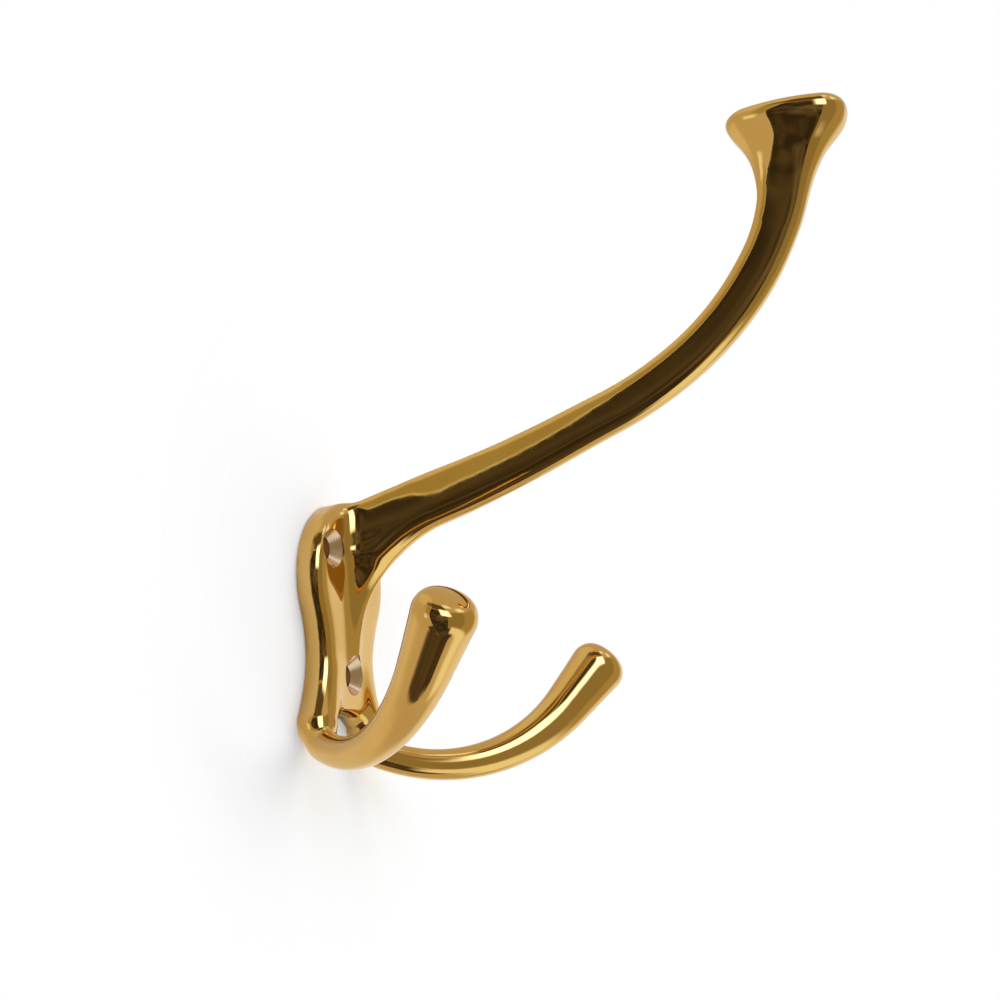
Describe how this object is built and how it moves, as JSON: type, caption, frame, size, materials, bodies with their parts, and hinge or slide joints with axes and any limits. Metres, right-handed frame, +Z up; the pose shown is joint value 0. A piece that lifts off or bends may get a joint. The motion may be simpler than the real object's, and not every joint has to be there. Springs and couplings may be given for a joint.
{
  "type": "robe hook",
  "caption": "Cast brass wall hook: a waisted screw plate with a long upswept arm ending in an oval head, and splayed lower prongs with round ends.",
  "frame": {"origin": "on the plate's flat back face, on the mirror plane, at the middle of the plate", "axes": "+Z up as mounted, +Y into the wall, -Y out into the room, +X to the right seen from the room"},
  "size_m": [0.1096, 0.1192, 0.1376],
  "materials": {
    "brass": "polished"
  },
  "bodies": {
    "root": {"hook": "brass"}
  },
  "joints": []
}
